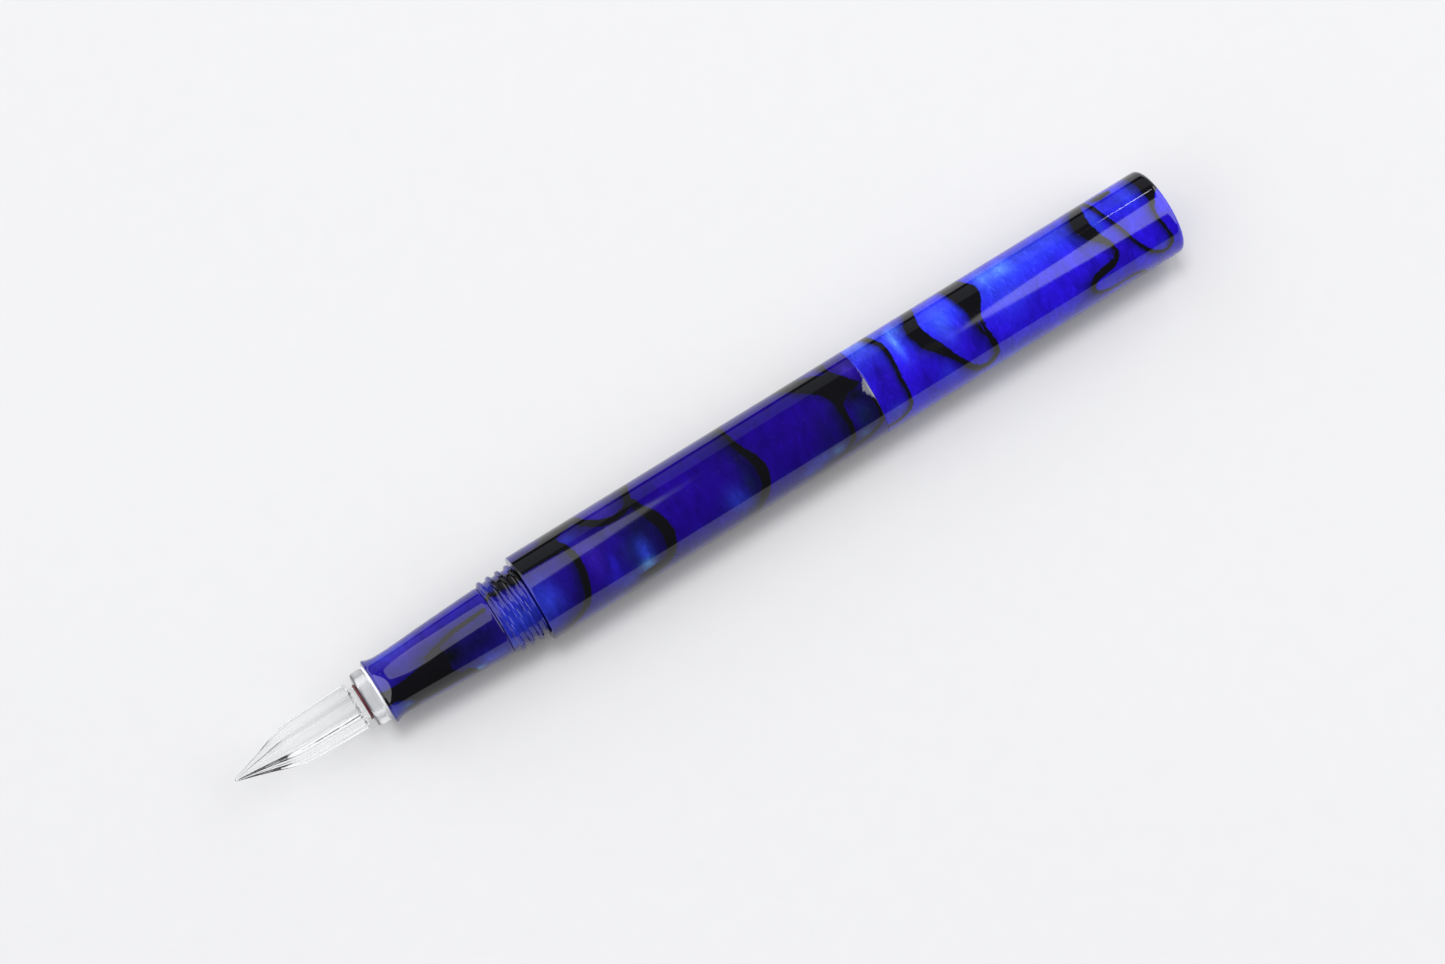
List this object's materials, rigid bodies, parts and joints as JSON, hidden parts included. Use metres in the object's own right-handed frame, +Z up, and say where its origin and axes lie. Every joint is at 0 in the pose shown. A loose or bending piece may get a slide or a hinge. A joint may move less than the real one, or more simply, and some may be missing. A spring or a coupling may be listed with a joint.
{
  "type": "screw-cap pen with a glass nib",
  "caption": "Pen with a fluted glass nib in a clear screw-in collar, a screw-in grip section and a threaded barrel, its screw cap posted flush on the tail.",
  "frame": {"origin": "on the surface that the pen lies on, under the middle of its whole length", "axes": "+X along the pen from the glass point to the closed end of the posted cap, +Z up"},
  "size_m": [0.1504, 0.013, 0.013],
  "materials": {
    "clear_glass": "polished",
    "clear_acrylic": "polished",
    "dark_red_rubber": "satin",
    "black_rubber": "satin",
    "clear_silicone": "satin",
    "white_plastic": "matte",
    "blue_acrylic": "polished, pearl swirls and black veins",
    "blue_acrylic_cap": "polished, pearl swirls and black veins",
    "liner_plastic": "satin"
  },
  "bodies": {
    "barrel": {"barrel": "blue_acrylic"},
    "cap_liner": {"cap_liner": "liner_plastic"},
    "cap": {"cap": "blue_acrylic_cap"},
    "section_ring": {"section_ring": "black_rubber"},
    "section": {"section": "blue_acrylic"},
    "nib_washer": {"nib_washer": "white_plastic"},
    "nib_unit": {"nib_collar": "clear_acrylic", "glass_nib": "clear_glass", "nib_neck_ring": "dark_red_rubber", "nib_stem_ring_front": "black_rubber", "nib_stem_ring_rear": "black_rubber", "nib_cushion": "clear_silicone"}
  },
  "joints": [
    {"name": "cap_travel", "type": "slide", "parent": "barrel", "child": "cap_liner", "axis": [1, 0, 0], "range_m": [0, 0.01015]},
    {"name": "cap_turn", "type": "hinge", "parent": "cap_liner", "child": "cap", "pos_m": [0.02575, 0, 0.0065], "axis": [1, 0, 0], "range_deg": [0, 2525]},
    {"name": "section_travel", "type": "slide", "parent": "barrel", "child": "section_ring", "axis": [-1, 0, 0], "range_m": [0, 0.00825]},
    {"name": "section_turn", "type": "hinge", "parent": "section_ring", "child": "section", "pos_m": [-0.03405, 0, 0.0065], "axis": [-1, 0, 0], "range_deg": [0, 3965]},
    {"name": "nib_travel", "type": "slide", "parent": "section", "child": "nib_washer", "axis": [-1, 0, 0], "range_m": [0, 0.01]},
    {"name": "nib_turn", "type": "hinge", "parent": "nib_washer", "child": "nib_unit", "pos_m": [-0.05495, 0, 0.0065], "axis": [-1, 0, 0], "range_deg": [0, 7205]}
  ],
  "couplings": [
    {"joint": "cap_turn", "follows": "cap_travel", "rad_per_m": 4333.2},
    {"joint": "section_turn", "follows": "section_travel", "rad_per_m": 8377.6},
    {"joint": "nib_turn", "follows": "nib_travel", "rad_per_m": 12566}
  ]
}
